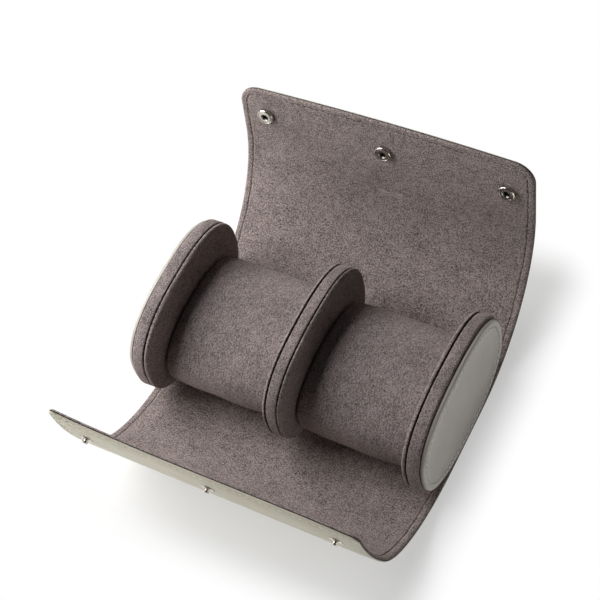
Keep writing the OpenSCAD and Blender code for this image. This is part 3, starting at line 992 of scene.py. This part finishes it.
def cushion_ring(low, high, x, inset):
    length, height = high.y - low.y, high.z - low.z
    middle = (low.z + high.z) / 2
    size = length - 2 * inset, height - 2 * inset
    y, z = oval(*size, cushion_squareness, middle, ring_points)
    return np.stack([np.full_like(y, x), y, z], -1)


def settle(points, seed):
    """Soft hollows and swellings of the cover, a few tenths of a millimetre deep."""
    x, y, z = (points / MM).T
    wave = np.sin(x * 0.13 + seed) * np.cos(y * 0.11 - seed)
    wave = wave + 0.6 * np.sin(x * 0.27 + y * 0.19 + z * 0.15)
    out = points - points.mean(0)
    out[:, 0] = 0
    out /= np.maximum(np.linalg.norm(out, axis=1), 1e-9)[:, None]
    return points + out * (wave * dimple)[:, None]


def cushion(title, seed):
    low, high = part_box(f"{title}_cushion_cover")
    first, last = x_ends(f"{title}_cushion_ends")
    middle, half = (first + last) / 2, (last - first) / 2
    rings = []
    body_x = np.concatenate([np.array(end_steps) * MM, steps(5 * MM, half, 1.3 * MM)])
    for x in np.concatenate([-half + body_x, (half - body_x)[::-1][1:]]):
        u = x / half
        gap = half - abs(x)
        rounding = end_r * (1 - math.sqrt(max(0.0, 1 - max(0.0, 1 - gap / end_r) ** 2)))
        inset = cushion_crown * abs(u) ** 3 + rounding
        rings.append(settle(cushion_ring(low, high, middle + x, inset), seed))
    sewing = Sewing()
    loft(sewing, rings, 0)
    close_ends(sewing, rings)
    made = sewing.piece(f"{title}_cushion_suede", [cushion_suede])
    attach(made, f"{title}_cushion")
    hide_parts(*(f"{title}_cushion_{part}" for part in ("cover", "foam", "ends")))
    print(f"{title} cushion: {2 * half / MM:.1f} mm long, {len(rings)} rings")


cushion("left", 0.4)
cushion("right", 2.1)

# %% [markdown]
# The snaps. Sockets, studs and caps are turned parts, so each is a profile that is spun round
# the snap's own axis; a Screw modifier could do it as well. A socket is a raised ring with a
# rolled lip and a spring inside, a stud has a flange, a neck and a round head, and a cap is a
# low dome on the lid's outside.

# %% Snaps
snap_pitch = 62 * MM
snap_x = (-snap_pitch, 0.0, snap_pitch)


def nearest(flap, node, depth):
    """How far along a flap a CAD node lies."""
    low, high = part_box(node)
    middle = np.array([(low.y + high.y) / 2, (low.z + high.z) / 2])
    s = np.linspace(0, flap.length, 4001)
    point, outward = flap.at(s)
    away = point + outward * depth - middle
    return s[np.argmin(np.hypot(away[:, 0], away[:, 1]))]


def spin(profile, sides=72):
    """Rings of a turned part from (radius, height) pairs, in millimetres."""
    a = np.linspace(0, 2 * np.pi, sides, endpoint=False)
    return np.array([
        np.stack([r * np.cos(a), r * np.sin(a), np.full_like(a, h)], -1) * MM
        for r, h in ((max(r, 1e-4), h) for r, h in profile)
    ])


def snap_frames(flap, s, depth, outward_sign):
    """Three frames with Z out of the face that a snap stands on."""
    for x in snap_x:
        point, outward = flap.at(s)
        origin = np.concatenate([[x], point + outward * depth])
        z = np.concatenate([[0], outward]) * outward_sign
        y = np.cross(z, [1, 0, 0])
        yield origin, np.stack([[1, 0, 0], y, z])


def snap_piece(name, node, profile, finish=nickel):
    """Spins a profile at the three places where the CAD node has its snaps."""
    flap, body = (front, "front_panel_4") if node == "snap_studs" else (lid, "lid_panel_5")
    depth, face_sign = (0.0, -1) if node == "snap_sockets" else (wall, 1)
    s = nearest(flap, node, depth + face_sign * 1.2 * MM)
    sewing = Sewing()
    for origin, axes in snap_frames(flap, s, depth, face_sign):
        loft(sewing, spin(profile) @ axes + origin, 0)
    made = sewing.piece(name, [finish], sharp_angle=40)
    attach(made, body)
    if finish is nickel:
        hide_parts(node)
    print(f"{name} spun {s / MM:.1f} mm along the {body.split('_')[0]} flap")


ring_profile = [(1.65, 0.02), (4.1, 0.0), (4.2, 0.15), (4.24, 0.5), (4.24, 1.1), (4.18, 1.42)]
ring_profile += [(4.05, 1.66), (3.85, 1.83), (3.6, 1.9), (3.38, 1.88), (3.24, 1.76), (3.1, 1.76)]
ring_profile += [(2.96, 1.84), (2.6, 1.84), (2.2, 1.86), (1.98, 1.84), (1.82, 1.74), (1.7, 1.56)]
ring_profile += [(1.65, 1.3), (1.65, 0.02)]
dome_profile = [(0, -0.1), (5.2, -0.1), (5.45, 0.05), (5.5, 0.25), (5.35, 0.45), (4.8, 0.68)]
dome_profile += [(3.8, 0.92), (2.6, 1.09), (1.3, 1.18), (0, 1.2)]
stud_profile = [(0, 0), (3.2, 0), (3.3, 0.12), (3.25, 0.34), (3.0, 0.46), (2.2, 0.52)]
stud_profile += [(1.3, 0.56), (1.05, 0.7), (1.0, 1.3), (1.12, 1.45), (1.38, 1.6), (1.46, 1.8)]
stud_profile += [(1.42, 2.05), (1.2, 2.26), (0.7, 2.34), (0, 2.35)]
# A dark disc at the bottom of each socket's hole: painted shade of the deep hole
hole_shade_profile = [(0, 0.25), (1.7, 0.25), (1.7, 0.05), (0, 0.05)]
snap_piece("snap_socket_rings", "snap_sockets", ring_profile)
snap_piece("snap_cap_domes", "snap_caps", dome_profile)
snap_piece("snap_stud_posts", "snap_studs", stud_profile)
snap_piece("snap_socket_hole_shades", "snap_sockets", hole_shade_profile, painted_hole_shade)
for name, finish in (("stud_rivets", nickel), ("socket_springs", spring_steel)):
    node = frame["nodes"][name]
    node.data.materials.clear()
    node.data.materials.append(finish)

# %% [markdown]
# The stage: white paper, a large soft lamp close by at the upper left, two low cards that
# lift the leather at the front and on the right, and hardly any light from the world. A
# sun lamp would light both ends of the case alike; a near lamp falls off, as here. The paper
# is shown brighter than it is lit, and pure white away from the case's own shadow.

# %% Stage and light
scene = bpy.context.scene
scene.view_settings.view_transform = "Standard"
WHITE = (1, 1, 1, 1)
lamp_target = Vector((0, 0, 0.03))
case_half = (0.074, 0.088, 0.0)
shadow_reach, floor_glow = 0.026, 0.48


def stage_floor():
    mesh = bpy.data.meshes.new("floor")
    reach, level = 4.0, -0.0003
    ways = [(-1, -1), (1, -1), (1, 1), (-1, 1)]
    mesh.from_pydata([(x * reach, y * reach, level) for x, y in ways], [], [range(4)])
    finish = Finish("floor_paper", {"Base Color": (0.9, 0.9, 0.9, 1), "Roughness": 0.9})
    camera_ray = finish.add("ShaderNodeLightPath", {}, {})
    seen = camera_ray + camera_ray.beside("Is Glossy Ray")
    seen = seen + camera_ray.beside("Is Transmission Ray")
    place = finish.add("ShaderNodeTexCoord", {}, {}, 3)
    away = finish.vector("SUBTRACT", finish.vector("ABSOLUTE", place), case_half)
    away = finish.vector("LENGTH", finish.vector("MAXIMUM", away, (0, 0, 0)))
    share = finish.range(away, 0, shadow_reach, floor_glow, 1.0)
    glow = finish.add("ShaderNodeEmission", {}, {"Color": WHITE, "Strength": 1.0})
    paper = Wire(finish, finish.shader.outputs[0])
    mixed = finish.add("ShaderNodeMixShader", {}, {0: seen * share, 1: paper, 2: glow})
    finish.link(mixed, finish.tree.nodes["Material Output"].inputs["Surface"])
    mesh.materials.append(finish.material)
    put("floor", mesh)


def lamp(name, place, size, power):
    """An area lamp that faces the case; size is its width and its height."""
    light = bpy.data.lights.new(name, "AREA")
    light.shape = "RECTANGLE"
    light.size, light.size_y = size
    light.energy = power
    made = put(name, light)
    made.location = place
    made.rotation_euler = (Vector(place) - lamp_target).to_track_quat("Z", "Y").to_euler()


def sky(strength):
    """A world that shows white to the camera and lights the case with its own strength."""
    scene.world = bpy.data.worlds.new("pale_world")
    scene.world.use_nodes = True
    world = Graph(scene.world.node_tree)
    light = world.tree.nodes["Background"]
    light.inputs["Color"].default_value = WHITE
    light.inputs["Strength"].default_value = strength
    shown = world.add("ShaderNodeBackground", {}, {"Color": WHITE, "Strength": 1.0})
    camera_ray = world.add("ShaderNodeLightPath", {}, {})
    rays = {0: camera_ray, 1: Wire(world, light.outputs[0]), 2: shown}
    mixed = world.add("ShaderNodeMixShader", {}, rays)
    world.link(mixed, world.tree.nodes["World Output"].inputs["Surface"])


stage_floor()
lamp("key_lamp", (-0.38, 0.02, 0.38), (0.5, 0.5), 4.1)
lamp("front_card", (-0.40, -0.36, 0.06), (0.3, 0.08), 0.7)
lamp("right_card", (0.55, -0.14, 0.05), (0.3, 0.08), 0.38)
sky(0.04)
print("lamps:", [light.name for light in bpy.data.lights])

# %% [markdown]
# The camera stands where the photographer stood. Its place was worked out from the snaps, the
# ovals and the wrap's edges. Setting its three axes directly is surer than aiming it with a
# constraint, because the view is also rolled.

# %% Camera
camera_elevation = math.radians(57.742)
camera_azimuth = math.radians(42.672)
camera_roll = math.radians(-18.25)
camera_distance = 866.8 * MM
camera_shift = (12.28 * MM, -39.4 * MM)
focal_pixels = 1817.2
frame_pixels = 600


def place_camera():
    sin_a, cos_a = math.sin(camera_azimuth), math.cos(camera_azimuth)
    sin_e, cos_e = math.sin(camera_elevation), math.cos(camera_elevation)
    back = Vector((sin_a * cos_e, -cos_a * cos_e, sin_e))
    level = Vector((cos_a, sin_a, 0))
    upright = back.cross(level)
    turn = Matrix.Rotation(camera_roll, 3, back)
    right, up = turn @ level, turn @ upright
    axes = Matrix((right, up, back)).transposed()
    place = back * camera_distance - right * camera_shift[0] - up * camera_shift[1]
    lens = bpy.data.cameras.new("camera")
    lens.sensor_width = 36
    lens.lens = focal_pixels * lens.sensor_width / frame_pixels
    lens.clip_start, lens.clip_end = 0.05, 20
    scene.camera = put("camera", lens)
    scene.camera.matrix_world = Matrix.Translation(place) @ axes.to_4x4()


place_camera()
print(f"lens {scene.camera.data.lens:.1f} mm")
